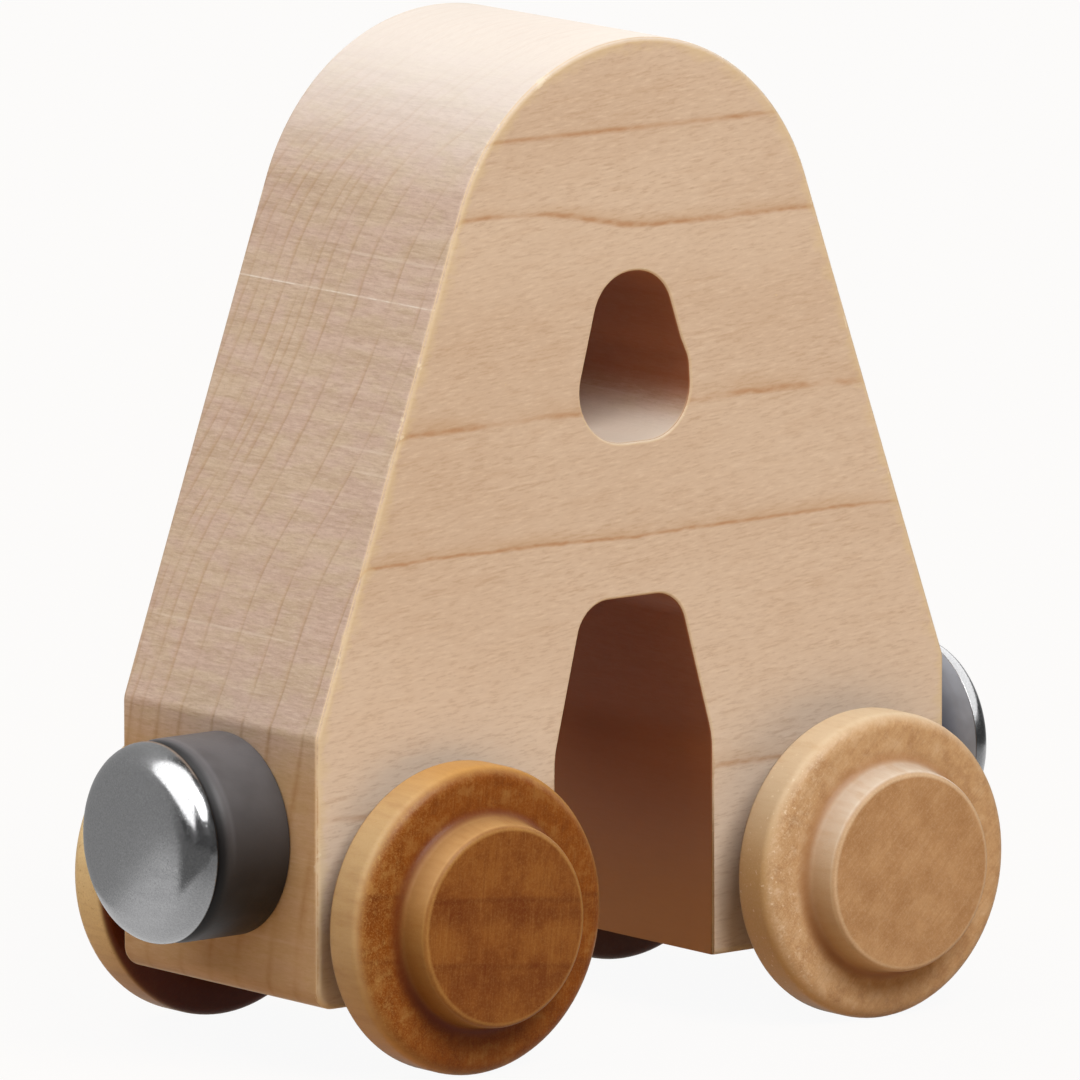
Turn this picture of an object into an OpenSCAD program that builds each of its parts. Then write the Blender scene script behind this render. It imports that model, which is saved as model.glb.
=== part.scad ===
// Letter train car: a wooden letter A that rolls on two wheelsets, with a magnet
// coupler nailed to each end. Millimetres. The track is at z = 0 and +Z is up.
// The front end faces -X and the left side faces -Y.

/* [Letter] */
// Length over the feet
body_len = 48; // [42:0.5:70]
// Thickness of the stock that the letter is sawn from
body_thick = 19; // [15:0.5:26]
// Height from the underside of the feet to the crown
body_h = 56.1; // [50:0.1:80]
// Height of the upright end of a foot, up to the shoulder
foot_h = 16.4; // [15:0.1:22]
// Radius of the crown, which the leaning sides run into
crown_r = 14; // [9:0.1:18]
// Radius that softens the shoulder
shoulder_r = 1.5; // [1.1:0.1:6]
// Radius of the outer corners under the feet
foot_r = 1.3; // [1.1:0.1:3]
// Width of the round sanded on the outer edges of both faces
edge_w = 0.4; // [0.3:0.05:0.9]

/* [Window] */
// Height of the window's sill above the underside
sill_h = 31.8; // [29:0.1:36]
// Height of the window
window_h = 10.3; // [8:0.1:13]
// Width that the leaning sides would reach at the sill
sill_w = 10.4; // [9.6:0.1:14]
// Width that the leaning sides would reach at the head
head_w = 4.8; // [4.6:0.1:8]
// Radius of the two sill corners
sill_r = 3.3; // [1:0.1:3.6]
// Radius of the two head corners
head_r = 2.5; // [1:0.1:2.7]
// Width of the round sanded on the edges of the window and the arch
opening_edge_w = 0.3; // [0.15:0.05:0.8]

/* [Arch] */
// Gap between the feet
arch_w = 12; // [9:0.1:15]
// Height of the arch's upright sides above the underside
arch_side_h = 13.3; // [10:0.1:16]
// Height of the arch above the underside
arch_h = 22.4; // [20:0.1:26]
// Width that the leaning sides would reach at the top of the arch
arch_top_w = 6.8; // [5.5:0.1:9]
// Radius of the arch's two top corners
arch_top_r = 2.3; // [0.8:0.1:2.5]
// Radius where an upright side starts to lean
arch_bend_r = 6; // [1:0.5:20]

/* [Wheels] */
// Diameter of the wheel's flange
wheel_d = 18.6; // [15:0.1:26]
// Thickness of the flange at its rim
flange_t = 3.2; // [2.4:0.1:5]
// Round on the flange's outer edge
flange_front_r = 0.6; // [0.2:0.05:1.1]
// Round on the flange's edge next to the body
flange_back_r = 0.5; // [0.2:0.05:1.1]
// Diameter of the boss where it leaves the flange
boss_root_d = 12.6; // [9:0.1:14]
// Diameter of the boss at its face
boss_face_d = 12.1; // [9:0.1:14]
// How far the boss stands out of the flange
boss_t = 2.1; // [1.4:0.1:5]
// Round on the edge of the boss
boss_edge_r = 0.4; // [0.1:0.05:0.6]
// Hollow round where the boss meets the flange
boss_root_r = 0.5; // [0.1:0.05:0.7]
// Gap between a wheel and the body when its wheelset is centred
wheel_gap = 1.5; // [1:0.1:4]
// Distance between the two axles
wheelbase = 30.4; // [28:0.2:40]
// How far the rear wheelset stands towards the right in its end float
rear_float = -0.8; // [-0.9:0.1:0.9]

/* [Axles] */
// Diameter of the steel axle
axle_d = 3; // [2:0.1:4]
// Height of the axle above the underside
axle_h = 5.1; // [4:0.1:6]
// Radial running clearance of the axle in the body
axle_clear = 0.08; // [0.02:0.01:0.1]
// Wood left between the axle's end and the face of the boss
boss_skin = 1.3; // [0.8:0.1:2]
// Gap between the axle's end and the bottom of the wheel's bore
axle_end_gap = 0.2; // [0.1:0.05:0.5]
// Bevel on the axle's ends
axle_bevel = 0.3; // [0.1:0.05:0.6]

/* [Couplers] */
// Height of the coupler's axis above the underside
coupler_h = 9.6; // [8.5:0.1:13]
// How far the front coupler stands towards the right of the middle
front_coupler_side = -0.9; // [-2:0.1:2]
// How far the rear coupler stands towards the right of the middle
rear_coupler_side = 0; // [-2:0.1:2]
// Diameter of the ring magnet
magnet_d = 12.2; // [10:0.1:15]
// Thickness of the ring magnet
magnet_t = 5.4; // [3:0.1:8]
// Round on the magnet's outer edge
magnet_edge_r = 0.7; // [0.2:0.05:1.2]
// Round on the magnet's edge at the wood
magnet_seat_r = 0.2; // [0.1:0.05:0.6]
// Radial clearance of the nail in the magnet
magnet_clear = 0.25; // [0.05:0.05:1]
// Diameter of the steel cap
cap_d = 12.1; // [9.5:0.1:15]
// Depth of the steel cap
cap_t = 1.9; // [1.7:0.1:3]
// Round on the edge of the cap's face
cap_edge_r = 1.75; // [0.5:0.05:1.85]
// Wall of the cap between its round edge and the nail's head
cap_wall = 1.2; // [0.7:0.1:2]
// Depth of the cap's pocket, filled by the nail's head
nail_head_t = 0.9; // [0.6:0.1:1.1]
// Diameter of the nail
nail_d = 2.4; // [1.6:0.1:3.2]
// Length of nail that is driven into the wood
nail_grip = 13; // [9:0.5:16]
// Length of the nail's point
nail_tip = 2.4; // [1:0.1:4]

/* [Hidden] */
$fn = 96;

// How far a cutter runs past the face that it cuts
over = 1;
// Angle at which a sanded round meets the flat beside it
crease = 10;
// How far a corner's arc stands proud of one that is tangent to both sides
proud = 0.004;
// How much wider the edges are sanded at the corners than along the sides
corner_wear = 0.03;
// How far the sanding of sides and of corners laps into each other
lap = 0.1;
underside_z = wheel_d / 2 - axle_h;
bore_r = axle_d / 2;
bore_depth = flange_t + boss_t - boss_skin;
axle_len = body_thick + 2 * (wheel_gap + bore_depth - axle_end_gap);
nail_len = magnet_t + nail_grip;
// The leaning sides run from the shoulders past the crown's circle to a point above it
to_crown = [-body_len / 2, body_h - crown_r - foot_h];
lean = atan2(to_crown[1], to_crown[0]) - asin(crown_r / norm(to_crown));
apex_h = foot_h - body_len / 2 * tan(lean);
maple = [0.83, 0.71, 0.58];
amber = [0.62, 0.40, 0.20];
honey = [0.74, 0.55, 0.36];
steel = [0.66, 0.66, 0.67];
ferrite = [0.24, 0.21, 0.21];

// Outlines are closed lists of [x, y, corner radius], counter-clockwise.
letter = [
    [-body_len / 2, 0, foot_r],
    [body_len / 2, 0, foot_r],
    [body_len / 2, foot_h, shoulder_r],
    [0, apex_h, crown_r],
    [-body_len / 2, foot_h, shoulder_r]
];
window = [
    [-sill_w / 2, sill_h, sill_r],
    [sill_w / 2, sill_h, sill_r],
    [head_w / 2, sill_h + window_h, head_r],
    [-head_w / 2, sill_h + window_h, head_r]
];
arch = [
    [-arch_w / 2, -2 * over, 0],
    [arch_w / 2, -2 * over, 0],
    [arch_w / 2, arch_side_h, arch_bend_r],
    [arch_top_w / 2, arch_h, arch_top_r],
    [-arch_top_w / 2, arch_h, arch_top_r],
    [-arch_w / 2, arch_side_h, arch_bend_r]
];

// Geometry of one rounded corner of an outline
function point(path, i) = [path[i][0], path[i][1]];
function after(path, i) = (i + 1) % len(path);
function before(path, i) = (i + len(path) - 1) % len(path);
function towards(p, q) = (q - p) / norm(q - p);
function arm_in(path, i) = towards(point(path, i), point(path, before(path, i)));
function arm_out(path, i) = towards(point(path, i), point(path, after(path, i)));
function half_angle(path, i) = acos(arm_in(path, i) * arm_out(path, i)) / 2;
function reach(path, i) = path[i][2] / tan(half_angle(path, i));
function arc_start(path, i) = point(path, i) + reach(path, i) * arm_in(path, i);
function arc_end(path, i) = point(path, i) + reach(path, i) * arm_out(path, i);
function bisector(path, i) = towards([0, 0], arm_in(path, i) + arm_out(path, i));
function arc_centre(path, i) =
    point(path, i) + path[i][2] / sin(half_angle(path, i)) * bisector(path, i);
function is_hollow(path, i) = cross(arm_out(path, i), arm_in(path, i)) < 0;
function heading(v) = atan2(v[1], v[0]);
function lap_angle(path, i) = lap / path[i][2] * 180 / PI;

// The sliver between a corner's chord and its arc
module corner_arc(path, i) {
    intersection() {
        polygon([arc_start(path, i), point(path, i), arc_end(path, i)]);
        translate(arc_centre(path, i)) circle(r = path[i][2] + proud);
    }
}

// Filled outline with its corners rounded, hollow ones too
module outline(path) {
    corners = [for (i = [0 : len(path) - 1]) if (path[i][2] > 0) i];
    difference() {
        union() {
            polygon([
                for (i = [0 : len(path) - 1])
                    each path[i][2] > 0
                        ? [arc_start(path, i), arc_end(path, i)]
                        : [point(path, i)]
            ]);
            for (i = corners) if (!is_hollow(path, i)) corner_arc(path, i);
        }
        for (i = corners) if (is_hollow(path, i)) corner_arc(path, i);
    }
}

// Section of the cutter that rounds an edge over a width. The wood lies left of the
// outline where side is 1, as on the letter, and right of it where side is -1, as at
// an opening. The round meets both flats at the crease angle, as sanding leaves it.
module cove(width, side) {
    depth = width / (1 - tan(crease));
    difference() {
        translate([side > 0 ? -depth : -over, -depth]) square(depth + over);
        translate([-side * depth, -depth]) circle(r = depth / cos(crease));
    }
}

// Cutter that rounds the edge of an outline on the face at z = 0. A side between two
// square corners, such as the open foot of the arch, has no edge to round.
module edge_cutter(path, width, side) {
    for (i = [0 : len(path) - 1]) {
        from = arc_end(path, i);
        to = arc_start(path, after(path, i));
        run = towards(from, to);
        if (path[i][2] + path[after(path, i)][2] > 0)
            translate(to + lap * run) rotate(heading(run)) rotate([90, 0, -90])
                linear_extrude(norm(to - from) + 2 * lap) cove(width - corner_wear, side);
        if (path[i][2] > 0)
            translate(arc_centre(path, i))
                rotate(heading(arc_start(path, i) - arc_centre(path, i)) - lap_angle(path, i))
                    rotate_extrude(angle = 180 - 2 * (half_angle(path, i) - lap_angle(path, i)))
                        translate([path[i][2], 0]) cove(width, side);
    }
}

// A profile of [radius, distance along the axis], turned about the axis
module turned(path) {
    rotate_extrude() outline(path);
}

// Points a shape's axis along the car, out of the front or the rear end
module at_end(side) {
    y = side < 0 ? front_coupler_side : rear_coupler_side;
    translate([side * body_len / 2, y, underside_z + coupler_h]) rotate([0, side * 90, 0])
        children();
}

// Points a shape's axis across the car at one axle
module at_axle(side) {
    shift = side < 0 ? 0 : rear_float;
    translate([side * wheelbase / 2, shift, wheel_d / 2]) rotate([90, 0, 0]) children();
}

// The nail, and the hole that it makes in the wood
module nail_shank() {
    turned([
        [0, -nail_len, 0],
        [nail_d / 2, nail_tip - nail_len, 0],
        [nail_d / 2, 0, 0],
        [0, 0, 0]
    ]);
}

module letter_body() color(maple) difference() {
    translate([0, 0, underside_z]) rotate([90, 0, 0]) difference() {
        linear_extrude(body_thick, center = true) difference() {
            outline(letter);
            outline(window);
            outline(arch);
        }
        for (flip = [0, 1]) mirror([0, 0, flip]) translate([0, 0, body_thick / 2]) {
            edge_cutter(letter, edge_w, 1);
            edge_cutter(window, opening_edge_w, -1);
            edge_cutter(arch, opening_edge_w, -1);
        }
        for (side = [-1, 1]) translate([side * wheelbase / 2, axle_h, 0])
            cylinder(h = body_thick + 2 * over, r = bore_r + axle_clear, center = true);
    }
    for (side = [-1, 1]) at_end(side) translate([0, 0, magnet_t]) nail_shank();
}

module axle() color(steel) turned([
    [0, -axle_len / 2, 0],
    [bore_r - axle_bevel, -axle_len / 2, 0],
    [bore_r, axle_bevel - axle_len / 2, 0],
    [bore_r, axle_len / 2 - axle_bevel, 0],
    [bore_r - axle_bevel, axle_len / 2, 0],
    [0, axle_len / 2, 0]
]);

module wheel() translate([0, 0, body_thick / 2 + wheel_gap]) turned([
    [bore_r, 0, 0],
    [wheel_d / 2, 0, flange_back_r],
    [wheel_d / 2, flange_t, flange_front_r],
    [boss_root_d / 2, flange_t, boss_root_r],
    [boss_face_d / 2, flange_t + boss_t, boss_edge_r],
    [0, flange_t + boss_t, 0],
    [0, bore_depth, 0],
    [bore_r, bore_depth, 0]
]);

module magnet() color(ferrite) turned([
    [nail_d / 2 + magnet_clear, 0, 0],
    [magnet_d / 2, 0, magnet_seat_r],
    [magnet_d / 2, magnet_t, magnet_edge_r],
    [nail_d / 2 + magnet_clear, magnet_t, 0]
]);

module coupler_cap() color(steel) translate([0, 0, magnet_t]) turned([
    [cap_d / 2 - cap_wall, 0, 0],
    [cap_d / 2, 0, 0],
    [cap_d / 2, cap_t, cap_edge_r],
    [0, cap_t, 0],
    [0, nail_head_t, 0],
    [cap_d / 2 - cap_wall, nail_head_t, 0]
]);

module coupler_nail() color(steel) translate([0, 0, magnet_t]) {
    nail_shank();
    cylinder(h = nail_head_t, r = cap_d / 2 - cap_wall);
}

module front_axle() at_axle(-1) axle();
module front_left_wheel() color(amber) at_axle(-1) wheel();
module front_right_wheel() color(amber) at_axle(-1) mirror([0, 0, 1]) wheel();
module rear_axle() at_axle(1) axle();
module rear_left_wheel() color(honey) at_axle(1) wheel();
module rear_right_wheel() color(honey) at_axle(1) mirror([0, 0, 1]) wheel();
module front_magnet() at_end(-1) magnet();
module front_coupler_cap() at_end(-1) coupler_cap();
module front_coupler_nail() at_end(-1) coupler_nail();
module rear_magnet() at_end(1) magnet();
module rear_coupler_cap() at_end(1) coupler_cap();
module rear_coupler_nail() at_end(1) coupler_nail();

letter_body();
front_axle();
front_left_wheel();
front_right_wheel();
rear_axle();
rear_left_wheel();
rear_right_wheel();
front_magnet();
front_coupler_cap();
front_coupler_nail();
rear_magnet();
rear_coupler_cap();
rear_coupler_nail();
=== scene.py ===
# %% [markdown]
# # A letter train car
#
# A toy car for wooden railways: a letter sawn from maple, four turned wheels, and a ring
# magnet under a steel cap at each end. The packed solids give every place and size. This
# lesson lays finished surfaces over them, one piece at a time, and then lights the stage.

# %% Load the frame
import math
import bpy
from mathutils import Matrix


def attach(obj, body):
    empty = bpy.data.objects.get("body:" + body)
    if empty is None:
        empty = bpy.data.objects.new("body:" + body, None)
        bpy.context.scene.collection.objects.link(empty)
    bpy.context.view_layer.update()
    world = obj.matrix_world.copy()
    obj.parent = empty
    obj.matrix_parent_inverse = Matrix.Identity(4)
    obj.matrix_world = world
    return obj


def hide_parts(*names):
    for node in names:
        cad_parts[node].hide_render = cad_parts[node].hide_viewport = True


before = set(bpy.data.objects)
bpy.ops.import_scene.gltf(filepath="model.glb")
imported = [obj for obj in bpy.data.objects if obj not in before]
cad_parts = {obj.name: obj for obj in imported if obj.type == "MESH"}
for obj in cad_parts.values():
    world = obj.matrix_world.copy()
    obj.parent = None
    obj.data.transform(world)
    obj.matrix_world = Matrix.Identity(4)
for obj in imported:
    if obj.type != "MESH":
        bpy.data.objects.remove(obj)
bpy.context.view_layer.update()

from types import SimpleNamespace

import bmesh
import bpy
from mathutils import Matrix, Vector

MM = 0.001

# %% [markdown]
# ## The camera
#
# The view was fitted to straight edges and wheel rims of the real car: a long lens from the
# front left, a little above the wheels. A long lens keeps parallel edges nearly parallel, so
# the lens length and the distance matter as much as the direction.

# %% Place the camera
AIM = Vector((0.341, -0.003, 28.783)) * MM
AZIMUTH, ELEVATION = math.radians(-38.455), math.radians(9.377)
DISTANCE, LENS, SENSOR = 1254.51 * MM, 696.97, 36
towards_camera = Vector((
    math.sin(AZIMUTH) * math.cos(ELEVATION),
    -math.cos(AZIMUTH) * math.cos(ELEVATION),
    math.sin(ELEVATION),
))
camera = bpy.data.objects.new("camera", bpy.data.cameras.new("camera"))
bpy.context.scene.collection.objects.link(camera)
camera.location = AIM + towards_camera * DISTANCE
camera.rotation_euler = (-towards_camera).to_track_quat("-Z", "Y").to_euler()
camera.data.sensor_width = SENSOR
camera.data.lens = LENS
camera.data.clip_start = 0.01
camera.data.clip_end = 20
bpy.context.scene.camera = camera
print("camera at", [round(c, 3) for c in camera.location])

# %% [markdown]
# ## Sums with sockets
#
# A finish is a graph of nodes. Drawing it by hand hides the sums in it, so a small class
# wraps an output socket and lets Python's own signs add the Math nodes.


# %% A signal
class Signal:
    """An output socket that sums are done with, and that steps and peaks are made from."""

    def __init__(self, finish, socket):
        self.finish = finish
        self.socket = socket

    def sum(self, operation, *terms):
        return self.finish.add("ShaderNodeMath", {"operation": operation}, dict(enumerate(terms)))

    def __add__(self, other):
        return self.sum("ADD", self, other)

    def __sub__(self, other):
        return self.sum("SUBTRACT", self, other)

    def __rsub__(self, other):
        return self.sum("SUBTRACT", other, self)

    def __mul__(self, other):
        return self.sum("MULTIPLY", self, other)

    def __truediv__(self, other):
        return self.sum("DIVIDE", self, other)

    def __pow__(self, other):
        return self.sum("POWER", self, other)

    def __abs__(self):
        return self.sum("ABSOLUTE", self)

    __radd__ = __add__
    __rmul__ = __mul__

    def rise(self, low, high):
        """0 below low, 1 above high and a smooth step between them."""
        settings = {"interpolation_type": "SMOOTHSTEP"}
        inputs = {"Value": self, "From Min": low, "From Max": high}
        return self.finish.add("ShaderNodeMapRange", settings, inputs)

    def peak(self, middle, width):
        """1 at the middle, falling smoothly to 0 at half the width on each side."""
        return 1 - abs(self - middle).rise(0, width / 2)


# %% [markdown]
# ## A finish
#
# Everything that isn't a sum comes from one method, which takes a node's type, its settings and
# its inputs. The other methods are the few nodes that the finishes of this car need again and
# again: noise, curves, marks on the mesh and layers of colour. All lengths are in millimetres,
# because that is how a maker reads a scratch or a ring.


# %% A material, node by node
class Finish:
    """A material that is put together node by node, with lengths in millimetres."""

    COLUMN, ROW, IN_A_ROW = 180, -220, 12

    def __init__(self, name):
        self.material = bpy.data.materials.new(name)
        self.material.use_nodes = True
        self.tree = self.material.node_tree
        self.tree.nodes.clear()

    def add(self, kind, settings=None, inputs=None, out=0):
        node = self.tree.nodes.new(kind)
        row, column = divmod(len(self.tree.nodes), self.IN_A_ROW)
        node.location = (self.COLUMN * column, self.ROW * row)
        for key, value in (settings or {}).items():
            if key == "stops":
                self.set_stops(node.color_ramp, value)
            elif key == "ease":
                node.color_ramp.interpolation = value
            else:
                setattr(node, key, value)
        for key, value in (inputs or {}).items():
            if isinstance(value, Signal):
                self.tree.links.new(value.socket, node.inputs[key])
            else:
                node.inputs[key].default_value = value
        return Signal(self, node.outputs[out])

    def set_stops(self, ramp, stops):
        while len(ramp.elements) < len(stops):
            ramp.elements.new(1)
        for element, (place, shade) in zip(ramp.elements, stops):
            element.position = place
            element.color = self.shade(shade)

    def curve(self, value, points, ease="LINEAR"):
        """Reads a curve along points of (value, result)."""
        low, high = points[0][0], points[-1][0]
        least = min(result for _, result in points)
        span = max(result for _, result in points) - least
        stops = [((v - low) / (high - low), ((result - least) / span,) * 3) for v, result in points]
        inputs = {0: (value - low) / (high - low)}
        return self.add("ShaderNodeValToRGB", {"stops": stops, "ease": ease}, inputs) * span + least

    def place(self, centre=(0, 0, 0), turn=(0, 0, 0), stretch=(1, 1, 1)):
        """Object coordinates in millimetres, from a centre, turned and stretched."""
        spot = self.add("ShaderNodeTexCoord", out="Object")
        spot = self.add("ShaderNodeVectorMath", {"operation": "SCALE"}, {0: spot, "Scale": 1 / MM})
        spot = self.add("ShaderNodeMapping", {"vector_type": "TEXTURE"},
                        {"Vector": spot, "Location": centre, "Rotation": turn})
        return self.add("ShaderNodeVectorMath", {"operation": "MULTIPLY"}, {0: spot, 1: stretch})

    def axis(self, spot, letter):
        return self.add("ShaderNodeSeparateXYZ", {}, {0: spot}, out=letter)

    def noise(self, spot, scale, detail, rough, seed):
        inputs = {"Vector": spot, "W": seed, "Scale": scale, "Detail": detail, "Roughness": rough}
        return self.add("ShaderNodeTexNoise", {"noise_dimensions": "4D"}, inputs)

    def mark(self, name):
        return self.add("ShaderNodeAttribute", {"attribute_name": name}, out="Fac")

    def blend(self, share, under, over):
        """Lays a share of one colour over another. The Mix node has sockets for every data type."""
        inputs = {0: share, 6: self.shade(under), 7: self.shade(over)}
        return self.add("ShaderNodeMix", {"data_type": "RGBA", "clamp_factor": True}, inputs, out=2)

    def shade(self, value):
        return value if isinstance(value, Signal) else (*value, 1)

    def done(self, **inputs):
        """Ends the finish in one Principled shader."""
        named = {key.replace("_", " "): value for key, value in inputs.items()}
        self.add_output(self.add("ShaderNodeBsdfPrincipled", {}, named))
        return self.material

    def add_output(self, surface):
        output = self.tree.nodes.new("ShaderNodeOutputMaterial")
        self.tree.links.new(surface.socket, output.inputs["Surface"])

    def bump(self, height, strength, distance):
        inputs = {"Height": height, "Strength": strength, "Distance": distance}
        return self.add("ShaderNodeBump", {}, inputs)


# %% [markdown]
# ## A pencil that draws with one vertex
#
# Every piece of this car is either sawn along an outline or turned from a profile. Both are
# drawn the same way: one vertex is extruded along the straight parts and spun about the
# centre of each round corner. The drawing is then filled and extruded, or spun on a lathe.
# Lines shorter than a ten-thousandth of a millimetre are left out, and vertices nearer than a
# thousandth are merged.


# %% The pencil
NO_LENGTH, MERGE = 1e-4, 1e-6


class Pencil:
    """Draws an outline in the plane y = 0, in millimetres."""

    def __init__(self, bm, x, z):
        self.bm = bm
        self.here = Vector((x, z))
        self.tip = bm.verts.new((x * MM, 0, z * MM))
        self.trail = [self.tip]

    def line(self, x, z):
        if (Vector((x, z)) - self.here).length < NO_LENGTH:
            return
        self.tip = bmesh.ops.extrude_vert_indiv(self.bm, verts=[self.tip])["verts"][0]
        self.tip.co = (x * MM, 0, z * MM)
        self.here = Vector((x, z))
        self.trail.append(self.tip)

    def arc(self, x, z, turn, steps):
        centre = Vector((x, z))
        first = len(self.bm.verts)
        made = bmesh.ops.spin(self.bm, geom=[self.tip], cent=(x * MM, 0, z * MM), axis=(0, -1, 0),
                              angle=turn, steps=steps)
        self.bm.verts.ensure_lookup_table()
        self.trail += self.bm.verts[first:]
        self.tip = [v for v in made["geom_last"] if isinstance(v, bmesh.types.BMVert)][0]
        self.here = centre + Matrix.Rotation(turn, 2) @ (self.here - centre)

    def corners(self, points, degrees=7):
        """Runs past points of (x, z, radius) and rounds those that have a radius."""
        spots = [self.here] + [Vector(p[:2]) for p in points]
        for i, (x, z, radius) in enumerate(points, 1):
            if radius == 0:
                self.line(x, z)
                continue
            back = (spots[i - 1] - spots[i]).normalized()
            ahead = (spots[i + 1] - spots[i]).normalized()
            half = back.angle(ahead) / 2
            start = spots[i] + back * radius / math.tan(half)
            centre = spots[i] + (back + ahead).normalized() * radius / math.sin(half)
            turn = math.copysign(math.pi - 2 * half, ahead.cross(back))
            self.line(*start)
            self.arc(*centre, turn, max(3, round(abs(math.degrees(turn)) / degrees)))

    def close(self):
        """Joins the last vertex to the first, and returns the outline's edges."""
        self.bm.edges.new((self.tip, self.trail[0]))
        drawn = set(self.trail)
        return [e for e in self.bm.edges if drawn.issuperset(e.verts)]


# %% [markdown]
# ## Pieces and nodes
#
# A piece is one mesh with one finish. Each piece stands for a node of the packed solids: it
# takes the node's place and rides on the node's body.


# %% Make a piece, and let it stand for a node
def new_piece(name, bm, material):
    mesh = bpy.data.meshes.new(name)
    bm.to_mesh(mesh)
    bm.free()
    mesh.materials.append(material)
    piece = bpy.data.objects.new(name, mesh)
    bpy.context.scene.collection.objects.link(piece)
    print(name, "has", len(mesh.polygons), "faces")
    return piece


def stands_for(piece, node, body):
    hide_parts(node)
    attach(piece, body)


# %% [markdown]
# ## Measures of the letter
#
# The finish needs to know where the sanded edge runs, so the letter's measures come first. The
# leaning sides start at the shoulders and touch the crown's circle. The angle at which they
# touch it follows from the two, and is the same one that the solid has. The arch stands upright
# at the feet and leans in above a bend, and the window stands above it.

# %% Shoulders, crown and lean
HALF_LENGTH, THICK = 24.0, 19.0
FOOT, SHOULDER = 4.2, 20.6
CROWN, CROWN_RADIUS = 46.3, 14.0
ARCH_HALF, ARCH_BEND, ARCH_TOP = 6.0, 17.5, 26.6
SILL, WINDOW_TOP = 36.0, 46.25
OUTER_EDGE, OPENING_EDGE = 0.35, 0.2

rise, run = CROWN - SHOULDER, HALF_LENGTH
slope = math.atan2(rise, -run) - math.asin(CROWN_RADIUS / math.hypot(rise, run))
touch = slope - math.pi / 2
CROWN_SIDE = (CROWN_RADIUS * math.cos(touch), CROWN + CROWN_RADIUS * math.sin(touch))
print("the sides lean by", round(math.degrees(touch), 2), "degrees")

# %% [markdown]
# ## Maple: growth rings
#
# The board was cut so that its growth rings stand nearly upright and bend as they go down.
# Each ring crosses the sawn ends as a thin, nearly upright line, and runs out through the face
# as one long level line. One solid pattern gives both. A curve says how far the rings have
# drifted across the board at each height, a list says where the rings stand, and the distance
# to the nearest one draws the line and the amber wash beside it. One ring dips over the window.
# Rings that cross the face steeply would show as thin lines, so they are drawn wider there.

# %% Rings through the board
RINGS = [-21, -18, -15.5, -12.3, -9.7, -6.83, -3.67, -1.6, 0, 1.1, 1.9, 3.4, 4.7, 5.8, 6.9,
         8, 9.1, 10.2, 11.3, 12.4, 13.5, 14.6, 15.7]
DRIFT = [(4, 11), (10, 10), (15.5, 8.5), (20, 7.3), (24, 7), (26.3, 6.9), (29, 6.5), (31.3, 5.67),
         (33.3, 4.67), (35.7, 3.67), (38, 2.83), (41, 2), (44.3, 1.5), (47.3, 1.17), (49, 0.83),
         (51, 0), (53, -1.1), (55.25, -2.67), (60.5, -6.5)]


def growth_rings(maple, x, y, z, end):
    """The dark line of each ring, and the amber wash on one side of it."""
    wander = maple.noise(maple.place(stretch=(0.5, 1, 1)), 0.14, 2, 0.5, 3)
    wobble = maple.noise(maple.place(stretch=(0.9, 1, 1)), 0.8, 2, 0.5, 7)
    fade = maple.noise(maple.place(stretch=(0.4, 1, 0.5)), 0.5, 2, 0.5, 8)
    dip = x.rise(-8.5, 2) * z.peak(50, 12) * 0.63
    depth = y - maple.curve(z, DRIFT, "B_SPLINE") + dip
    depth = depth + (wander - 0.5) * 0.3 + (wobble - 0.5) * 0.12
    count = maple.curve(depth, [(ring, i) for i, ring in enumerate(RINGS)]) + 0.5
    gaps = [(a, b - a) for a, b in zip(RINGS, RINGS[1:])]
    off = (count.sum("FRACT", count) - 0.5) * maple.curve(depth, gaps)
    face_width = 0.15 + z.rise(34, 48) * 0.10 + z.rise(51.5, 54) * 0.30
    width = face_width + end * (0.31 - face_width + (1 - z.rise(17, 22)) * 0.9)
    broken = maple.noise(maple.place(stretch=(0.35, 0.6, 1)), 3.2, 2, 0.6, 4)
    line = off.peak(0, width) * fade.rise(0.20, 0.60) * (0.5 + broken.rise(0.34, 0.62) * 0.5)
    wash = off.rise(-0.10, 0.02) * (1 - off.rise(0.02, 0.42)) * fade.rise(0.25, 0.70)
    return line, wash


# %% [markdown]
# ## Maple: face and ends
#
# On the face the fibres lie flat and show as short dashes along the car. On the ends they are
# cut across, and what shows is the sanding: level scratches, some fine and some broad, and one
# long slip of the sander. The feet of the ends are painted darker and warmer, as painted shade
# and warm bounced light, and the lower face is painted paler, as painted light. Most of it is
# noise that is stretched one way, and each part is faint, because maple is a quiet wood.


# %% Dashes on the face
def board_face(maple, z):
    cloud = maple.noise(maple.place(stretch=(0.3, 1, 1)), 0.12, 3, 0.5, 5)
    zone = maple.noise(maple.place(stretch=(0.25, 1, 1)), 0.40, 2, 0.5, 6)
    tilt = (0, -0.09, 0)
    dash = maple.noise(maple.place(turn=tilt, stretch=(0.17, 1, 1)), 7.5, 3, 0.65, 1)
    hair = maple.noise(maple.place(turn=tilt, stretch=(0.10, 1, 1)), 3.2, 2, 0.6, 2)
    face = maple.blend(cloud.rise(0.3, 0.7), (0.655, 0.492, 0.358), (0.710, 0.555, 0.418))
    # Painted light: the face is painted paler towards the feet, to make up for the light that falls
    # off there.
    face = maple.blend((1 - z.rise(8, 38)) * 0.55, face, (0.84, 0.685, 0.540))
    face = maple.blend(dash.rise(0.50, 0.66) * (0.11 + zone * 0.37), face, (0.46, 0.285, 0.170))
    face = maple.blend(hair.rise(0.52, 0.70) * 0.18, face, (0.54, 0.345, 0.205))
    return maple.blend((1 - dash).rise(0.52, 0.68) * 0.33, face, (0.84, 0.695, 0.545)), dash


# %% Scratches on the ends
SLIP = 45.33


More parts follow.
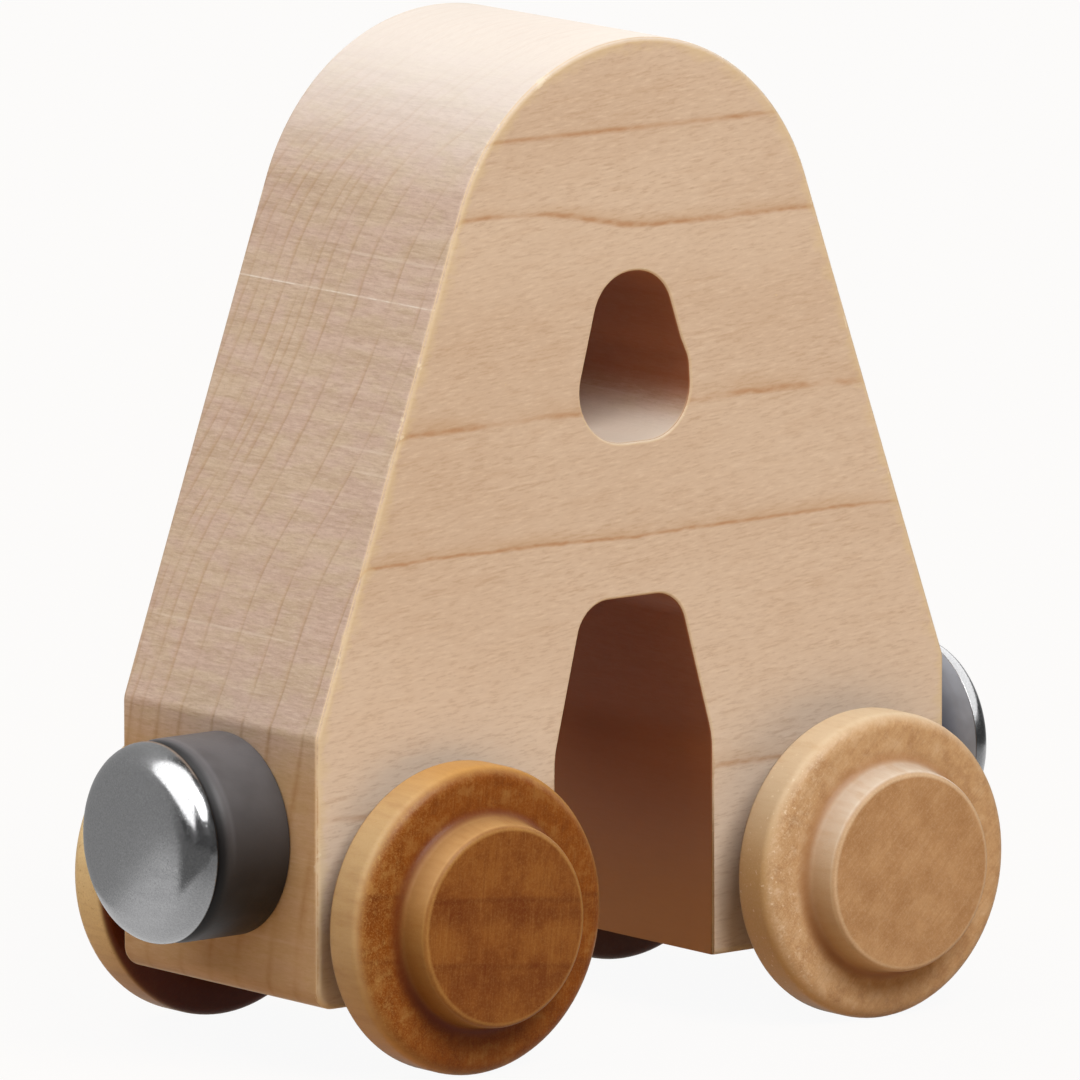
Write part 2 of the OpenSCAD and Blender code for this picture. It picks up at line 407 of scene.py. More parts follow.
def sawn_end(maple, x, z):
    tint = maple.noise(maple.place(stretch=(1, 0.35, 1)), 0.8, 3, 0.6, 12)
    short = maple.noise(maple.place(stretch=(1, 0.15, 1)), 7.5, 3, 0.7, 9)
    broad = maple.noise(maple.place(stretch=(1, 0.045, 1)), 1.5, 4, 0.7, 10)
    long = maple.noise(maple.place(stretch=(1, 0.012, 1)), 2.6, 1, 0.5, 11)
    pores = maple.noise(maple.place(), 7.0, 3, 0.7, 13)
    wood = maple.blend(tint.rise(0.38, 0.62), (0.650, 0.487, 0.400), (0.640, 0.497, 0.360))
    wood = maple.blend(broad.rise(0.46, 0.64) * 0.34, wood, (0.480, 0.330, 0.240))
    wood = maple.blend((1 - broad).rise(0.50, 0.66) * 0.28, wood, (0.760, 0.610, 0.500))
    wood = maple.blend(short.rise(0.50, 0.66) * 0.46, wood, (0.460, 0.310, 0.220))
    wood = maple.blend((1 - short).rise(0.50, 0.66) * 0.46, wood, (0.780, 0.640, 0.530))
    wood = maple.blend(pores.rise(0.52, 0.68) * 0.26, wood, (0.43, 0.285, 0.195))
    wood = maple.blend(long.rise(0.69, 0.74) * 0.4, wood, (0.82, 0.70, 0.59))
    slip = z.peak(SLIP, 0.15) * (0 - x).rise(10, 11) * short.rise(0.30, 0.60)
    wood = maple.blend(slip * 0.8, wood, (0.94, 0.88, 0.80))
    # Painted shade and warm bounced light: the feet of the ends are painted darker and warmer.
    foot = 1 - z.rise(17.0, 21.5)
    wood = maple.blend(foot * 0.60, wood, (0.580, 0.325, 0.105))
    return wood, short * 0.7 + broad * 0.5


# %% [markdown]
# ## Maple: the worn rim and the whole finish
#
# Sanding the edge by hand leaves a yellowish rim with a ragged inner border and tiny chips.
# Its width can't come from the mesh, since the face is one flat polygon, so the distance to
# the outline is worked out from the letter's measures. The sanded top and the sill of the window
# are painted paler than the rest, as painted sheen of the light from above. The walls of the
# openings are painted brown: partly the stain of the saw's heat, partly painted shade of the
# recess, with painted bounced light making them paler low down. Marks on the mesh tell the
# finish which surfaces are ends, which look up, which are bevels and which are walls of the
# sawn openings.


# %% How far inside the edge
def rim_depth(x, z):
    """How far a spot of the face lies inside the letter's outer edge."""
    side, above = abs(x), z - CROWN
    lean = side * math.cos(touch) + above * math.sin(touch)
    bow = (x * x + above * above) ** 0.5
    round_above = z.rise(CROWN_SIDE[1] - 0.1, CROWN_SIDE[1] + 0.1)
    depth = CROWN_RADIUS - (lean + (bow - lean) * round_above)
    return depth.sum("MINIMUM", depth, HALF_LENGTH - side)


# %% The finish of the letter
def maple_finish():
    maple = Finish("maple")
    spot = maple.place()
    x, y, z = (maple.axis(spot, letter) for letter in "XYZ")
    end, up = maple.mark("end_grain"), maple.mark("upward")
    edge, sawn, cut = (maple.mark(name) for name in ("edge", "opening_wall", "cut_wall"))

    line, wash = growth_rings(maple, x, y, z, end)
    face, dash = board_face(maple, z)
    ends, level = sawn_end(maple, x, z)
    inside = rim_depth(x, z)
    ragged = maple.noise(maple.place(stretch=(0.6, 1, 1)), 1.3, 3, 0.65, 14)
    teeth = maple.noise(maple.place(), 1.1, 4, 0.65, 15)
    worn = edge * inside.rise(teeth * 0.6 - 0.26, teeth * 0.6 - 0.08)
    across = end.rise(0.25, 0.75) * (1 - worn)
    wood = maple.blend(across, face, ends)
    # Painted sheen: surfaces that look up, and the sill most, are painted paler where the light from
    # above falls.
    top = up.rise(0.25, 0.90)
    pale = maple.blend(cut, (0.77, 0.72, 0.67), (0.86, 0.75, 0.63))
    wood = maple.blend(top * (0.60 + cut * 0.10), wood, pale)
    wood = maple.blend(wash * (1 - top * 0.9) * (0.36 - cut * 0.3), wood, (0.50, 0.285, 0.125))
    line = line * (1 - cut) * (1 - up.rise(0.12, 0.50) * 0.93)
    wood = maple.blend(line * (1 - across) * 0.66, wood, (0.47, 0.225, 0.090))
    cross_line = maple.blend(z.rise(17, 22), (0.46, 0.225, 0.070), (0.30, 0.190, 0.130))
    wood = maple.blend(line * across * (0.44 - y.rise(0, 7) * 0.18), wood, cross_line)

    rim = (1 - across) * (1 - up.rise(0.2, 0.6)) * (1 - inside.rise(0.1, ragged * 3.4 - 0.75))
    rim = rim.sum("MAXIMUM", rim, worn * 0.5)
    wood = maple.blend(rim * (0.34 + dash * 0.5), wood, (0.75, 0.590, 0.345))
    chip = edge * teeth.rise(0.60, 0.66) * (1 - cut)
    wood = maple.blend(chip * 0.5, wood, (0.88, 0.77, 0.58))
    # Walls of the openings: partly saw stain, partly painted shade of the recess, painted paler low
    # down as bounced light.
    opening_stain_and_shade = maple.blend(z.rise(5, 17), (0.54, 0.245, 0.085), (0.335, 0.090, 0.022))
    wood = maple.blend(sawn * 0.88, wood, opening_stain_and_shade)

    height = dash * 0.5 + level * end - line * 0.4
    normal = maple.bump(height, 0.25, 0.00005)
    return maple.done(Base_Color=wood, Roughness=0.55 - end * 0.05, Normal=normal,
                      Specular_IOR_Level=0.22)


maple = maple_finish()
print("maple has", len(maple.node_tree.nodes), "nodes")

# %% [markdown]
# ## The letter
#
# On the real car this is one block, sawn round, sawn open twice and sanded. Its face has a
# hole in it, which one polygon can't have, so the drawing is made in two halves that meet on
# the middle line between window and arch. Each half is a plain outline that fills with one
# polygon. Extruding both gives the block, and bevels on the rims are the sanded edges: wide
# around the outside, narrow around the sawn openings. The saw left the halves a little uneven,
# and the window bulges on one side.

# %% Draw the two halves
FOOT_ROUND, SHOULDER_ROUND, CROWN_STEPS = 1.3, 1.5, 40


def half_letter(bm, side, arch, window):
    """One half of the letter's face. Openings are marked, so that their rims can be told apart."""
    opening = bm.verts.layers.int["opening"]
    pencil = Pencil(bm, 0, arch[0])
    pencil.corners([(side * x, z, r) for x, z, r in arch[1:]])
    sawn = list(pencil.trail)
    pencil.corners([(side * HALF_LENGTH, FOOT, FOOT_ROUND),
                    (side * HALF_LENGTH, SHOULDER, SHOULDER_ROUND),
                    (side * CROWN_SIDE[0], CROWN_SIDE[1], 0)])
    pencil.arc(0, CROWN, side * (math.pi / 2 - touch), CROWN_STEPS)
    before = len(pencil.trail)
    pencil.line(0, window[0])
    pencil.corners([(side * x, z, r) for x, z, r in window[1:]])
    sawn += pencil.trail[before:]
    for v in sawn:
        v[opening] = 1
    bmesh.ops.edgeloop_fill(bm, edges=pencil.close())


letter = bmesh.new()
letter.verts.layers.int.new("opening")
arch_foot = [(ARCH_HALF, ARCH_BEND, 6.0), (ARCH_HALF, FOOT, 0)]
bulge = [(3.55, 41.9, 2.0), (4.15, 40.6, 2.0)]
halves = {
    1: ([ARCH_TOP, (3.4, ARCH_TOP, 2.3), *arch_foot],
        [WINDOW_TOP, (2.1, WINDOW_TOP, 2.8), *bulge, (4.45, SILL, 3.1), (0, SILL, 0)]),
    -1: ([ARCH_TOP, (3.8, ARCH_TOP, 2.4), *arch_foot],
         [WINDOW_TOP, (2.4, WINDOW_TOP, 2.9), (5.1, SILL, 3.3), (0, SILL, 0)]),
}
for side, (arch, window) in halves.items():
    half_letter(letter, side, arch, window)
print("each half has", [len(f.verts) for f in letter.faces], "corners")

# %% [markdown]
# The two halves are merged along the middle line and extruded to the board's thickness. Then
# the rims are bevelled, those of the openings first. A rim is known by having one flat face
# and one wall beside it.

# %% Extrude the block
bmesh.ops.remove_doubles(letter, verts=letter.verts, dist=MERGE)
bmesh.ops.translate(letter, verts=letter.verts, vec=(0, -THICK / 2 * MM, 0))
block = bmesh.ops.extrude_face_region(letter, geom=letter.faces[:])
raised = [v for v in block["geom"] if isinstance(v, bmesh.types.BMVert)]
bmesh.ops.translate(letter, verts=raised, vec=(0, THICK * MM, 0))
bmesh.ops.recalc_face_normals(letter, faces=letter.faces)
print("the block has", len(letter.faces), "faces")

# %% Sand the edges
FLAT = 0.999


def rims(bm, sawn):
    """The edges between a flat face and a wall, of the openings or of the outside."""
    opening = bm.verts.layers.int["opening"]
    found = []
    for e in bm.edges:
        flat = [abs(f.normal.y) > FLAT for f in e.link_faces]
        if sum(flat) == 1 and all(v[opening] for v in e.verts) == sawn:
            found.append(e)
    return found


sanded = set()
for sawn, width in ((True, OPENING_EDGE), (False, OUTER_EDGE)):
    made = bmesh.ops.bevel(letter, geom=rims(letter, sawn), offset=width * MM, offset_type="OFFSET",
                           segments=5, profile=0.5, affect="EDGES", material=-1,
                           loop_slide=True)
    sanded.update(made["faces"])
bmesh.ops.recalc_face_normals(letter, faces=letter.faces)
print("the sanded edges have", len(sanded), "faces")

# %% [markdown]
# The marks for the finish are kept on the corners of the faces, because a flat face and the
# bevel beside it share their vertices but not their grain. On a wall that bends, each corner
# takes the mean way that the walls beside it look, so that the marks change smoothly. The stain
# and painted shade of the openings fade out where a wall looks up into the light.

# %% Mark the grain
WALL, STEEP_WALL, STAIN_AND_SHADE_FADE = 0.5, 0.3, 1.4


def wall_way(v):
    """The mean way that the walls beside a vertex look."""
    walls = (f.normal for f in v.link_faces if abs(f.normal.y) < STEEP_WALL)
    return sum(walls, Vector()).normalized()


MARKS = ("end_grain", "upward", "edge", "cut_wall", "opening_wall")
marks = {name: letter.loops.layers.float.new(name) for name in MARKS}
opening = letter.verts.layers.int["opening"]
for f in letter.faces:
    f.smooth = True
    wall = abs(f.normal.y) < WALL
    cut = wall and all(v[opening] for v in f.verts)
    for corner in f.loops:
        way = wall_way(corner.vert) if wall else f.normal
        corner[marks["end_grain"]] = abs(way.x)
        corner[marks["upward"]] = max(0.0, way.z)
        corner[marks["edge"]] = 1.0 if f in sanded else 0.0
        corner[marks["cut_wall"]] = 1.0 if cut else 0.0
        # The mark of stain and painted shade fades where a wall looks up into the light.
        wall_stain_and_shade = min(1.0, max(0.0, 1.0 - STAIN_AND_SHADE_FADE * way.z))
        corner[marks["opening_wall"]] = wall_stain_and_shade if cut else 0.0

letter_piece = new_piece("letter", letter, maple)
weights = letter_piece.modifiers.new("flat faces lead", "WEIGHTED_NORMAL")
weights.keep_sharp = True
weights.weight = 90
stands_for(letter_piece, "letter_body", "car")

# %% [markdown]
# ## Turned pieces
#
# Wheels, magnets and caps come off a lathe. Half a profile is drawn with the pencil, spun a
# full turn about the upright axis and then laid over to where it belongs on the car. A cylinder
# with bevels would do for the caps, but not for the hollow at the root of a wheel's boss.


# %% A lathe
def turned(points, place, steps=112):
    """Spins a closed profile of (radius, height, corner radius) and moves it to its place."""
    bm = bmesh.new()
    pencil = Pencil(bm, *points[0][:2])
    pencil.corners(list(points[1:]) + [points[0]], degrees=11)
    bmesh.ops.remove_doubles(bm, verts=bm.verts, dist=MERGE / 10)
    bmesh.ops.spin(bm, geom=bm.verts[:] + bm.edges[:], cent=(0, 0, 0), axis=(0, 0, 1),
                   angle=2 * math.pi, steps=steps, use_merge=True)
    bmesh.ops.remove_doubles(bm, verts=bm.verts, dist=MERGE)
    bmesh.ops.recalc_face_normals(bm, faces=bm.faces)
    bmesh.ops.transform(bm, verts=bm.verts, matrix=place)
    for f in bm.faces:
        f.smooth = True
    return bm


def mark_grain(bm, axis):
    """Marks how squarely a turned surface cuts the fibres, which run along the axis."""
    layer = bm.verts.layers.float.new("end_grain")
    bm.normal_update()
    for v in bm.verts:
        v[layer] = abs(v.normal.dot(axis))


# %% [markdown]
# ## Lacquered wheels: where a spot lies
#
# The wheels are cut from dowel, so their flat faces show end grain. End grain drinks the
# stain and turns dark, with fine rays one way and rings across them, while the rim stays
# light. Nearly all of it depends on how far a spot lies from the axle and on a few noises that
# the face and the side share, so these come first. The rays lie another way on each wheel.


# %% Distances and noises of a wheel
def wheel_signals(wood, centre, turn, seed):
    """What the face and the side of a wheel both read, from the middle of its back."""
    upright, spot = wood.place(centre), wood.place(centre, turn)
    x, z = wood.axis(spot, "X"), wood.axis(spot, "Z")

    def noise(stretch, scale, detail, rough, number):
        at = wood.add("ShaderNodeVectorMath", {"operation": "MULTIPLY"}, {0: spot, 1: stretch})
        return wood.noise(at, scale, detail, rough, seed + number)

    return SimpleNamespace(
        across=wood.axis(upright, "X"),
        deep=wood.axis(upright, "Y"),
        above=wood.axis(upright, "Z"),
        level=z,
        out=(x * x + z * z) ** 0.5,
        cloud=noise((1, 0.3, 1), 0.45, 5, 0.65, 0),
        ray=noise((1, 0.4, 0.06), 8.5, 3, 0.65, 1),
        grain=noise((1, 0.10, 1), 2.6, 3, 0.6, 2),
        wave=noise((0.35, 0.2, 1), 0.40, 3, 0.55, 3),
        mottle=noise((1, 1, 1), 8.0, 3, 0.75, 4),
        speck=noise((1, 1, 1), 3.2, 2, 0.6, 5),
        smear=noise((1, 1, 1), 1.5, 5, 0.78, 6),
        patch=noise((1, 0.5, 1), 0.9, 4, 0.65, 7),
    )


# %% [markdown]
# ## Lacquered wheels: face and side
#
# The face of the boss is cloudy and crossed by two dark bands. The flange round it has darker
# and paler patches, and pale smears where the stain was wiped thin, painted stronger on the lit
# side as painted light and glints. The side is long grain: it took less stain, and it is painted
# palest on top of the boss and on one side of the rim, as painted light.


# %% The dark face
def wheel_face(wood, at, tint, painted_glint_side):
    level = at.level + (at.wave - 0.5) * 0.4
    bands = level.peak(1.55, 0.6) * 0.6 + level.peak(0.8, 2.4) * 0.5
    bands = bands + level.peak(-2.35, 0.6) * 0.5 + level.peak(-3.0, 2.0) * 0.4
    ring = wood.blend(at.patch.rise(0.48, 0.66) * 0.36, tint.flange, tint.shadow)
    ring = wood.blend((1 - at.patch).rise(0.48, 0.66) * 0.26, ring, tint.worn)
    face = wood.blend(at.cloud.rise(0.34, 0.66), tint.dark, tint.light)
    face = wood.blend(at.out.rise(6.2, 6.7), face, ring)
    face = wood.blend(at.ray.rise(0.48, 0.70) * tint.rays, face, tint.shadow)
    face = wood.blend(bands * tint.rings * (0.6 + at.ray * 0.8), face, tint.shadow)
    # On the lit side the paler mottle and smears are painted stronger, as painted light.
    face = wood.blend(at.mottle.rise(0.44, 0.70) * (0.20 + painted_glint_side * 0.28), face, tint.worn)
    face = wood.blend((1 - at.ray).rise(0.52, 0.72) * tint.rays * 0.45, face, tint.worn)
    smear = at.smear.rise(0.50, 0.66) * at.out.rise(6.5, 7.3)
    return wood.blend(smear * (0.10 + painted_glint_side * 0.25), face, tint.bare)


# %% The light side
def wheel_side(wood, at, tint):
    # Painted light: the side of the rim towards the light, and the top of the boss, are painted
    # paler.
    pale = (at.across * tint.pale_way[0] + at.above * tint.pale_way[1]).rise(3, 9)
    rim = wood.blend(pale, tint.rim, tint.rim_pale)
    boss = wood.blend(at.above.rise(-1, 5.5), tint.boss_side, tint.boss_pale)
    side = wood.blend(at.out.rise(6.9, 7.6), boss, rim)
    side = wood.blend(at.cloud.rise(0.48, 0.72) * tint.blotch, side, tint.flange)
    side = wood.blend(at.grain.rise(0.42, 0.72) * tint.blotch * 0.5, side, tint.flange)
    return wood.blend(at.mottle.rise(0.44, 0.70) * 0.25, side, tint.worn)


# %% [markdown]
# ## Lacquered wheels: the whole finish
#
# Lacquer gathers in the hollow at the root of the boss, and painted shade darkens the hollow
# further, most on its lower side. Lacquer is rubbed off the edges, and on the lit side the
# flange has a few pale specks, which are painted glints. The inner face, next to the letter, is
# painted darkest, as painted shade. Both woods are satin: a thin coat over a fairly rough base,
# with a fine bump from the pores.


# %% The finish of a wheel
# Painted shade for the inner face of a wheel, next to the letter.
INNER_FACE_SHADE = (0.110, 0.015, 0.001)


def wheel_finish(name, centre, turn, seed, tint):
    wood = Finish(name)
    at = wheel_signals(wood, centre, turn, seed)
    # The side of the flange that faces the light, where painted glints and paler mottle go.
    painted_glint_side = (0 - at.across).rise(2.5, 8) * at.out.rise(6.6, 7.6)
    end = wood.mark("end_grain").rise(0.35, 0.9)
    shade = wood.blend(end, wheel_side(wood, at, tint), wheel_face(wood, at, tint, painted_glint_side))
    # Lacquer in the hollow, with painted shade there, most on its lower side.
    hollow_lacquer_and_shade = at.out.peak(6.55, 1.3) * (0.60 + (1 - at.above.rise(-6, 3)) * 0.32)
    shade = wood.blend(hollow_lacquer_and_shade, shade, tint.shadow)
    edges = at.out.peak(5.85, 0.40) + at.out.peak(9.0, 0.8) * 0.4
    shade = wood.blend(edges * (0.25 + at.mottle * 0.5), shade, tint.worn)
    # Painted glints: pale specks on the lit side of the flange.
    shade = wood.blend(at.speck.rise(0.63, 0.70) * painted_glint_side * 0.5, shade, tint.bare)
    # Painted shade: the inner face, between wheel and letter, is painted nearly black.
    inner_shade = 1 - abs(at.deep).rise(0.05, 0.5)
    shade = wood.blend(inner_shade * 0.9, shade, INNER_FACE_SHADE)
    normal = wood.bump(at.grain * 0.3 + at.ray * 0.3 + at.mottle * 0.9, 0.35, 0.00006)
    return wood.done(Base_Color=shade, Roughness=0.44, Normal=normal, Coat_Weight=0.06,
                     Coat_Roughness=0.16, Specular_IOR_Level=0.14)


# %% [markdown]
# ## Two batches of wheels
#
# The wheels of the two axles come from different batches: one amber with bold bands, one honey
# with the scratches of a coarse cloth. One amber wheel's rim is painted much paler on its lit
# side, as painted light. Each wheel is one profile: a bore from the back, a rounded flange, the
# hollow and the boss.

# %% Colours of the batches
AMBER = SimpleNamespace(
    dark=(0.190, 0.050, 0.008), light=(0.285, 0.101, 0.019), flange=(0.250, 0.067, 0.006),
    rim=(0.58, 0.300, 0.085), rim_pale=(0.58, 0.390, 0.195), pale_way=(-0.97, 0.25),
    boss_side=(0.40, 0.205, 0.055), boss_pale=(0.57, 0.320, 0.120), shadow=(0.125, 0.024, 0.004),
    worn=(0.52, 0.285, 0.085), bare=(0.52, 0.315, 0.100), rings=0.6, rays=0.28, blotch=0.25,
)
# Painted light: this wheel's rim is painted much paler on the side that faces the light.
AMBER_PAINTED_LIT_RIM = SimpleNamespace(**vars(AMBER) | {"rim_pale": (0.92, 0.72, 0.40)})
HONEY = SimpleNamespace(
    dark=(0.425, 0.227, 0.097), light=(0.535, 0.312, 0.150), flange=(0.565, 0.340, 0.165),
    rim=(0.60, 0.375, 0.160), rim_pale=(0.74, 0.570, 0.370), pale_way=(-0.35, 0.94),
    boss_side=(0.66, 0.480, 0.290), boss_pale=(0.80, 0.690, 0.560), shadow=(0.32, 0.145, 0.055),
    worn=(0.78, 0.59, 0.39), bare=(0.92, 0.78, 0.58), rings=0.15, rays=0.24, blotch=0.5,
)

# %% Turn the four wheels
BORE, BORE_DEPTH = 1.5, 4.0
FLANGE, FLANGE_WIDTH = 9.3, 3.2
BOSS, BOSS_TOP = 6.05, 5.3
HOLLOW = (6.35, 3.06, 0.8)
WHEEL = [(BORE, 0, 0), (FLANGE, 0, 0.5), (FLANGE, FLANGE_WIDTH, 0.95), HOLLOW,
         (BOSS, BOSS_TOP, 0.42), (0, BOSS_TOP, 0), (0, BORE_DEPTH, 0), (BORE, BORE_DEPTH, 0)]
AXLE_X, AXLE_Z, WHEEL_BACK, REAR_FLOAT = 15.2, 9.3, 11.0, -0.8
wheels = [
    ("front_left_wheel", "front_wheelset", -1, -1, "amber_wood", AMBER, 0.1, 20),
    ("front_right_wheel", "front_wheelset", -1, 1, "amber_wood", AMBER_PAINTED_LIT_RIM, 0.9, 30),
    ("rear_left_wheel", "rear_wheelset", 1, -1, "honey_wood", HONEY, 0.78, 40),
    ("rear_right_wheel", "rear_wheelset", 1, 1, "honey_wood", HONEY, 2.0, 50),
]
for node, body, end, side, slot, tint, angle, seed in wheels:
    across = side * WHEEL_BACK + (REAR_FLOAT if end > 0 else 0)
    centre = (end * AXLE_X, across, AXLE_Z)
    place = Matrix.Translation(Vector(centre) * MM) @ Matrix.Rotation(-side * math.pi / 2, 4, "X")
    bm = turned(WHEEL, place)
    mark_grain(bm, Vector((0, 1, 0)))
    finish = wheel_finish(node + "_wood", centre, (0, angle, 0), seed, tint)
    stands_for(new_piece(node + "_turned", bm, finish), node, body)

# %% [markdown]
# ## Magnets and caps
#
# A ferrite ring is pressed and fired like pottery, so it is matt, dark and slightly warm. Its
# top is painted paler and its underside darker, as painted light from above, and a painted
# highlight runs along its upper outer edge. The rear ring is painted bluish and paler near the
# cap, as a painted reflection. The cap is stamped from thin steel and nickel plated. Its face is
# a little domed, which is why it shows two tones at once, and a fine grain and small scuffs break
# up its reflections. On the front coupler a groove parts the ring from the cap, and painted
# shade darkens it on both ring and cap.


# %% Ferrite
def ferrite_finish():
    ferrite = Finish("ferrite")
    spot = ferrite.place()
    speck = ferrite.noise(spot, 6.0, 3, 0.6, 60)
    cloud = ferrite.noise(spot, 0.5, 2, 0.5, 61)
    x, z = ferrite.axis(spot, "X"), ferrite.axis(spot, "Z")
    # Painted light: the top is painted paler and the underside darker, as light from above falls.
    shade = ferrite.blend(z.rise(10.5, 20), (0.018, 0.013, 0.010), (0.106, 0.100, 0.104))
    # Painted reflection: the rear ring is painted bluish, and paler near the cap.
    shade = ferrite.blend(x.rise(23, 24) * 0.8, shade, (0.060, 0.066, 0.090))
    shade = ferrite.blend(x.rise(26.6, 29.4) * 0.8, shade, (0.31, 0.315, 0.340))
    shade = ferrite.blend(cloud.rise(0.4, 0.7) * 0.3, shade, (0.045, 0.040, 0.040))
    shade = ferrite.blend(speck.rise(0.62, 0.80) * 0.3, shade, (0.11, 0.10, 0.10))
    out = abs(x) - HALF_LENGTH
    # Painted highlight along the upper outer edge of the ring.
    shade = ferrite.blend(out.peak(4.25, 0.6) * z.rise(12, 18) * 0.35, shade, (0.17, 0.165, 0.175))
    # Painted shade in the groove between the front ring and its cap.
    painted_groove_shade = out.rise(4.5, 4.95) * (1 - x.rise(-1, 1))
    shade = ferrite.blend(painted_groove_shade * 0.9, shade, (0.006, 0.005, 0.005))
    normal = ferrite.bump(speck, 0.2, 0.00005)
    return ferrite.done(Base_Color=shade, Roughness=0.38 + speck * 0.12, Normal=normal,
                        Specular_IOR_Level=0.3)


# %% Nickel
def nickel_finish():
    nickel = Finish("nickel")
    spot = nickel.place()
    grain = nickel.noise(spot, 9.0, 3, 0.65, 70)
    scuff = nickel.noise(nickel.place(stretch=(1, 0.25, 1)), 1.6, 3, 0.6, 71)
    pits = nickel.noise(spot, 9.0, 1, 0.5, 72)
    shade = nickel.blend(scuff.rise(0.35, 0.75) * 0.4, (0.49, 0.49, 0.495), (0.42, 0.42, 0.43))
    shade = nickel.blend(pits.rise(0.70, 0.76) * 0.5, shade, (0.25, 0.25, 0.25))
    x = nickel.axis(spot, "X")
    # Painted shade: the back of the front cap, in the groove, is darkened.
    painted_groove_shade = (1 - (0 - x - HALF_LENGTH).rise(5.42, 5.52)) * (1 - x.rise(-1, 1))
    shade = nickel.blend(painted_groove_shade, shade, (0.02, 0.02, 0.02))
    shade = nickel.blend(grain.rise(0.46, 0.64) * 0.36, shade, (0.33, 0.33, 0.335))
    shade = nickel.blend((1 - grain).rise(0.50, 0.66) * 0.36, shade, (0.60, 0.60, 0.605))
    normal = nickel.bump(grain * 0.5 + pits.rise(0.62, 0.76) * 0.8, 0.16, 0.00003)
    return nickel.done(Base_Color=shade, Metallic=1.0, Roughness=0.16 + scuff.rise(0.3, 0.8) * 0.10,
                       Normal=normal)


# %% [markdown]
# Both couplers are turned from the same two profiles and laid over towards their end of the
# car. The front ring has a worn outer corner and sits a little off the middle. The rear ring
# has a sharp corner. The dome is a shallow parabola, drawn through a few points.

# %% Turn the couplers
COUPLER_Z, FRONT_OFFSET = 13.8, -0.9
RING, RING_HOLE, RING_DEPTH = 6.1, 1.45, 5.4
CAP_RADIUS, CAP_INSIDE, CAP_CEILING = 6.05, 4.85, 6.3
SHOULDER_ROLL, DOME_TOP, DOME_FLATNESS = (CAP_RADIUS, 6.84, 1.6), 7.3, 80


def magnet(corner):
    return [(RING_HOLE, 0, 0), (RING, 0, 0.2), (RING, RING_DEPTH, corner), (RING_HOLE, RING_DEPTH, 0)]


dome = [(r, DOME_TOP - r * r / DOME_FLATNESS, 0) for r in (4.2, 3.4, 2.7, 2.0, 1.3, 0.6, 0)]
CAP = [(CAP_INSIDE, RING_DEPTH, 0), (CAP_RADIUS, RING_DEPTH, 0), SHOULDER_ROLL, *dome,
       (0, CAP_CEILING, 0), (CAP_INSIDE, CAP_CEILING, 0)]
ferrite, nickel = ferrite_finish(), nickel_finish()
for end, name, across, corner in ((-1, "front", FRONT_OFFSET, 1.1), (1, "rear", 0.0, 0.15)):
    spot = Vector((end * HALF_LENGTH, across, COUPLER_Z)) * MM
    place = Matrix.Translation(spot) @ Matrix.Rotation(end * math.pi / 2, 4, "Y")
    ring = new_piece(name + "_magnet_ring", turned(magnet(corner), place), ferrite)
    stands_for(ring, name + "_magnet", "car")
    cap = new_piece(name + "_cap", turned(CAP, place), nickel)
    stands_for(cap, name + "_coupler_cap", "car")

# %% [markdown]
# ## Axles and nails
#
# Only a short length of each axle shows between wheel and letter, and the nails are hidden.
# Their solids are right as they are and keep their meshes, with a drawn-steel finish.


# %% Drawn steel
def steel_finish():
    steel = Finish("drawn_steel")
    lines = steel.noise(steel.place(stretch=(1, 0.05, 1)), 8.0, 2, 0.5, 80)
    shade = steel.blend(lines, (0.50, 0.50, 0.51), (0.60, 0.60, 0.61))
    return steel.done(Base_Color=shade, Metallic=1.0, Roughness=0.28 + lines * 0.14)


steel = steel_finish()
for node in ("front_axle", "rear_axle", "front_coupler_nail", "rear_coupler_nail"):
    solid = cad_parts[node]
    solid.data.materials.clear()
    solid.data.materials.append(steel)
    print(node, "keeps its solid")

# %% [markdown]
# ## Stage
#
# The car stands on a pale floor. Nearly all that the camera sees of it is lifted to white, and
# the small rest keeps the soft shadow under the wheels. What the steel mirrors of it is grey,
# darker in front of the car than behind it. To all other light the floor is a plain warm
# surface, so a little warm light comes up under the car.


# %% Floor and world
WHITE_SHARE, WORLD_STRENGTH = 0.94, 0.03


def floor_finish():
    floor = Finish("floor")
    camera_ray = floor.add("ShaderNodeLightPath", out="Is Camera Ray")
    seen = camera_ray * WHITE_SHARE
    for kind in ("Is Glossy Ray", "Is Transmission Ray"):
        seen = seen.sum("MAXIMUM", seen, floor.add("ShaderNodeLightPath", out=kind))
    back = floor.axis(floor.place(), "Y").rise(-45, 15)
    mirrored = floor.blend(back, (0.30, 0.30, 0.30), (0.72, 0.72, 0.72))
    lifted = floor.blend(camera_ray, mirrored, (1, 1, 1))
    white = floor.add("ShaderNodeEmission", {}, {"Color": lifted, "Strength": 1})
    matt = floor.add("ShaderNodeBsdfDiffuse", {}, {"Color": (0.50, 0.34, 0.19, 1)})
    floor.add_output(floor.add("ShaderNodeMixShader", {}, {0: seen, 1: matt, 2: white}))
    return floor.material


bm = bmesh.new()
bmesh.ops.create_grid(bm, x_segments=2, y_segments=2, size=2)
floor = new_piece("floor", bm, floor_finish())

world = bpy.data.worlds.new("studio")
bpy.context.scene.world = world
world.use_nodes = True
sky = world.node_tree.nodes["Background"]
sky.inputs["Color"].default_value = (1, 1, 1, 1)
sky.inputs["Strength"].default_value = WORLD_STRENGTH


# %% [markdown]
# ## Paper for the reflections
#
# Polished steel shows whatever stands round it. On an empty stage that is nothing, and the caps
# would look like grey paint. So papers stand round the car: a low wall that is pale behind and
# dark in front, a grey card and a dark one beside the front cap, a white card that leans over
# it and makes the bright streak, a backdrop, and a card for the rear cap. Only reflections see
# them. They light nothing and cast no shadow, so the wood keeps its own colours.


